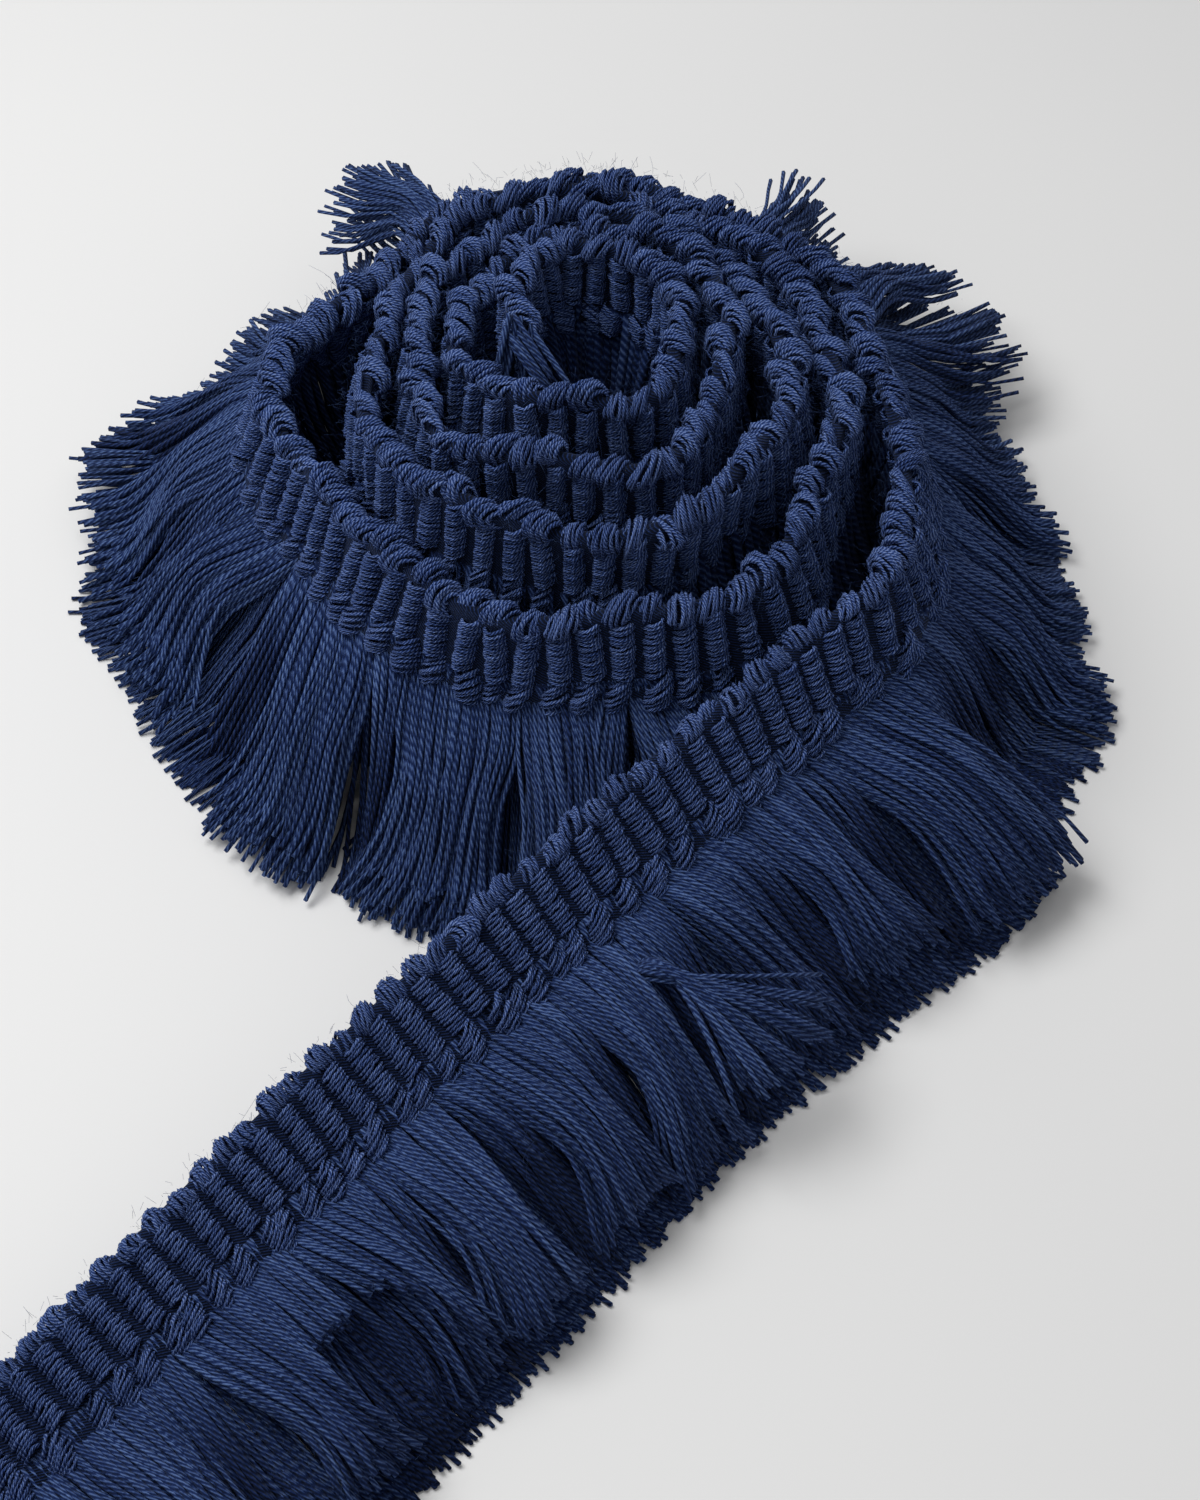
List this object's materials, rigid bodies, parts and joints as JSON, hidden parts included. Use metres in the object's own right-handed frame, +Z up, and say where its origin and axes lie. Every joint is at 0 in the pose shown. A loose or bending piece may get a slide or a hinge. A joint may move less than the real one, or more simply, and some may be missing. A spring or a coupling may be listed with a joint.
{
  "type": "fringe trim",
  "caption": "Brush fringe trim: a ribbed woven heading with a looped edge and a long cut fringe, loosely rolled so that it stands on its fringe, with a free tail.",
  "frame": {"origin": "on the floor, under the middle of the part's box", "axes": "+Z up, out of the floor on which the roll stands; -Y along the free tail, from the roll to the cut end"},
  "size_m": [0.1398, 0.2276, 0.04],
  "materials": {
    "heading_yarn": "matte plied cotton yarn, woven in cross ribs",
    "fringe_yarn": "matte twisted cotton strands with cut ends"
  },
  "bodies": {
    "root": {"heading": "heading_yarn", "fringe_tail": "fringe_yarn", "fringe_outer": "fringe_yarn", "fringe_inner": "fringe_yarn"}
  },
  "joints": []
}
